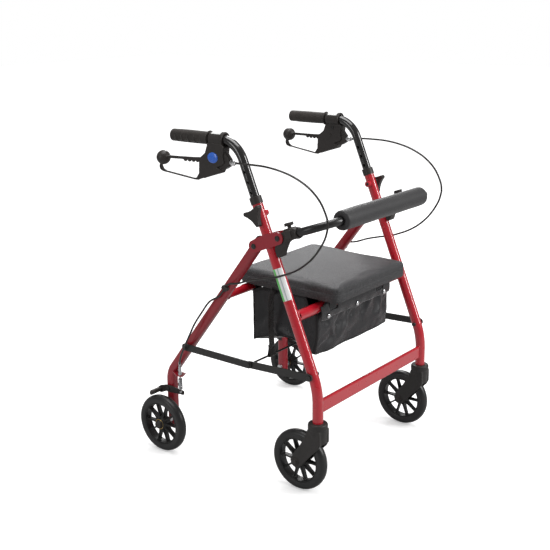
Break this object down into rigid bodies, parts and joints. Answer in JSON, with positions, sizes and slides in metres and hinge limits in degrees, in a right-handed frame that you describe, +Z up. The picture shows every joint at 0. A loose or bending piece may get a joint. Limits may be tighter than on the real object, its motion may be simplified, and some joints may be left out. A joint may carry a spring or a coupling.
{
  "type": "rollator walker",
  "caption": "Four-wheeled folding walking frame with padded seat, flip-up back bar, loop brakes, height-adjustable handles and a bag under the seat.",
  "frame": {"origin": "on the floor, under the middle of the overall box", "axes": "+Z up, the user walks towards -Y, the user's left side is +X"},
  "size_m": [0.5896, 0.582, 0.8345],
  "materials": {
    "red_frame": "gloss wet-paint red",
    "black_tube": "gloss black powder coat",
    "black_steel": "satin black",
    "steel": "zinc plated",
    "black_plastic": "fine moulded texture",
    "wheel_plastic": "satin moulded",
    "grip_rubber": "soft matte",
    "tyre_grey": "smooth solid tyre",
    "seat_vinyl": "grained vinyl over foam",
    "foam_black": "closed-cell foam sleeve",
    "bag_nylon": "woven nylon",
    "webbing": "woven strap",
    "cable_black": "smooth cable housing",
    "bronze": "sintered"
  },
  "bodies": {
    "front_frame": {"front_leg_right": "red_frame", "front_leg_left": "red_frame", "front_cross_bar": "red_frame", "front_seat_tube": "red_frame", "pivot_plates": "red_frame", "plate_rivets": "black_steel", "leg_collars": "black_plastic", "knob_nuts": "red_frame", "front_stay_bolts": "black_steel", "caster_stem_bearings": "bronze", "cargo_bag": "bag_nylon", "brake_cables": "cable_black", "fold_straps": "webbing"},
    "rear_frame": {"rear_leg_right": "red_frame", "rear_leg_left": "red_frame", "rear_seat_tube": "red_frame", "rear_leg_caps": "black_plastic", "cable_clips": "black_plastic", "cable_adjusters": "steel", "brake_springs": "steel", "rear_frame_bolts": "black_steel", "rear_axles": "steel"},
    "front_stays": {"front_stay_frame": "black_steel"},
    "rear_stays": {"rear_stay_links": "black_steel"},
    "seat": {"seat_cushion": "seat_vinyl", "seat_pan": "black_plastic", "seat_hinge_clamps": "black_plastic"},
    "back_bar": {"backrest_bar": "black_tube", "backrest_foam": "foam_black", "backrest_brackets": "black_plastic"},
    "latch_right": {"latch_button_right": "black_plastic"},
    "handle_right": {"handle_tube_right": "black_tube", "hand_grip_right": "grip_rubber", "brake_housing_right": "black_plastic"},
    "cam_right": {"parking_cam_right": "black_plastic"},
    "lever_right": {"brake_lever_right": "black_plastic"},
    "knob_right": {"height_knob_right": "black_plastic"},
    "caster_right": {"caster_fork_right": "black_plastic", "caster_axle_right": "steel"},
    "front_wheel_right": {"front_tyre_right": "tyre_grey", "front_rim_right": "wheel_plastic"},
    "rear_wheel_right": {"rear_tyre_right": "tyre_grey", "rear_rim_right": "wheel_plastic", "rear_bearings_right": "bronze"},
    "brake_right": {"brake_arm_right": "black_plastic"},
    "latch_left": {"latch_button_left": "black_plastic"},
    "handle_left": {"handle_tube_left": "black_tube", "hand_grip_left": "grip_rubber", "brake_housing_left": "black_plastic"},
    "cam_left": {"parking_cam_left": "black_plastic"},
    "lever_left": {"brake_lever_left": "black_plastic"},
    "knob_left": {"height_knob_left": "black_plastic"},
    "caster_left": {"caster_fork_left": "black_plastic", "caster_axle_left": "steel"},
    "front_wheel_left": {"front_tyre_left": "tyre_grey", "front_rim_left": "wheel_plastic"},
    "rear_wheel_left": {"rear_tyre_left": "tyre_grey", "rear_rim_left": "wheel_plastic", "rear_bearings_left": "bronze"},
    "brake_left": {"brake_arm_left": "black_plastic"}
  },
  "joints": [
    {"name": "fold", "type": "hinge", "parent": "front_frame", "child": "rear_frame", "pos_m": [0, -0.07558, 0.58], "axis": [-1, 0, 0], "range_deg": [0, 35], "deforming": ["cargo_bag", "brake_cables"]},
    {"name": "front_stays_turn", "type": "hinge", "parent": "front_frame", "child": "front_stays", "pos_m": [0, -0.23198, 0.294], "axis": [1, 0, 0], "range_deg": [0, 45.2], "deforming": ["fold_straps"]},
    {"name": "rear_stays_turn", "type": "hinge", "parent": "rear_frame", "child": "rear_stays", "pos_m": [0, 0.14856, 0.29], "axis": [-1, 0, 0], "range_deg": [0, 42.9]},
    {"name": "seat_flip", "type": "hinge", "parent": "front_frame", "child": "seat", "pos_m": [0, -0.179, 0.424], "axis": [1, 0, 0], "range_deg": [0, 80]},
    {"name": "back_bar_flip", "type": "hinge", "parent": "front_frame", "child": "back_bar", "pos_m": [0, -0.14438, 0.60794], "axis": [-1, 0, 0], "range_deg": [0, 80]},
    {"name": "latch_press_right", "type": "slide", "parent": "back_bar", "child": "latch_right", "axis": [0, -0.3305, -0.9438], "range_m": [0, 0.004], "stiffness_N_per_m": 200},
    {"name": "handle_height_right", "type": "slide", "parent": "front_frame", "child": "handle_right", "axis": [0, 0.3762, 0.9265], "range_m": [-0.075, 0.075], "deforming": ["brake_cables"]},
    {"name": "park_right", "type": "hinge", "parent": "handle_right", "child": "cam_right", "pos_m": [-0.24, 0.04302, 0.774], "axis": [-1, 0, 0], "range_deg": [0, 15]},
    {"name": "squeeze_right", "type": "hinge", "parent": "cam_right", "child": "lever_right", "pos_m": [-0.24, 0.04302, 0.774], "axis": [1, 0, 0], "range_deg": [0, 10]},
    {"name": "knob_turn_right", "type": "hinge", "parent": "front_frame", "child": "knob_right", "pos_m": [-0.236, -0.0852, 0.655], "axis": [1, 0, 0], "continuous": true},
    {"name": "caster_swivel_right", "type": "hinge", "parent": "front_frame", "child": "caster_right", "pos_m": [-0.236, -0.24498, 0.1815], "axis": [0, 0, 1], "continuous": true},
    {"name": "front_wheel_spin_right", "type": "hinge", "parent": "caster_right", "child": "front_wheel_right", "pos_m": [-0.236, -0.19398, 0.075], "axis": [1, 0, 0], "continuous": true},
    {"name": "rear_wheel_spin_right", "type": "hinge", "parent": "rear_frame", "child": "rear_wheel_right", "pos_m": [-0.2767, 0.21602, 0.075], "axis": [1, 0, 0], "continuous": true},
    {"name": "brake_arm_turn_right", "type": "hinge", "parent": "rear_frame", "child": "brake_right", "pos_m": [-0.251, 0.21552, 0.162], "axis": [-1, 0, 0], "range_deg": [0, 3]},
    {"name": "latch_press_left", "type": "slide", "parent": "back_bar", "child": "latch_left", "axis": [0, -0.3305, -0.9438], "range_m": [0, 0.004], "stiffness_N_per_m": 200},
    {"name": "handle_height_left", "type": "slide", "parent": "front_frame", "child": "handle_left", "axis": [0, 0.3762, 0.9265], "range_m": [-0.075, 0.075], "deforming": ["brake_cables"]},
    {"name": "park_left", "type": "hinge", "parent": "handle_left", "child": "cam_left", "pos_m": [0.24, 0.04302, 0.774], "axis": [-1, 0, 0], "range_deg": [0, 15]},
    {"name": "squeeze_left", "type": "hinge", "parent": "cam_left", "child": "lever_left", "pos_m": [0.24, 0.04302, 0.774], "axis": [1, 0, 0], "range_deg": [0, 10]},
    {"name": "knob_turn_left", "type": "hinge", "parent": "front_frame", "child": "knob_left", "pos_m": [0.236, -0.0852, 0.655], "axis": [1, 0, 0], "continuous": true},
    {"name": "caster_swivel_left", "type": "hinge", "parent": "front_frame", "child": "caster_left", "pos_m": [0.236, -0.24498, 0.1815], "axis": [0, 0, 1], "continuous": true},
    {"name": "front_wheel_spin_left", "type": "hinge", "parent": "caster_left", "child": "front_wheel_left", "pos_m": [0.236, -0.19398, 0.075], "axis": [1, 0, 0], "continuous": true},
    {"name": "rear_wheel_spin_left", "type": "hinge", "parent": "rear_frame", "child": "rear_wheel_left", "pos_m": [0.2767, 0.21602, 0.075], "axis": [1, 0, 0], "continuous": true},
    {"name": "brake_arm_turn_left", "type": "hinge", "parent": "rear_frame", "child": "brake_left", "pos_m": [0.251, 0.21552, 0.162], "axis": [-1, 0, 0], "range_deg": [0, 3]}
  ],
  "couplings": [
    {"joint": "front_stays_turn", "follows": "fold", "ratio": 1.2902},
    {"joint": "rear_stays_turn", "follows": "fold", "ratio": 1.2236},
    {"joint": "brake_arm_turn_right", "follows": "squeeze_right", "ratio": 0.3},
    {"joint": "brake_arm_turn_left", "follows": "squeeze_left", "ratio": 0.3}
  ]
}
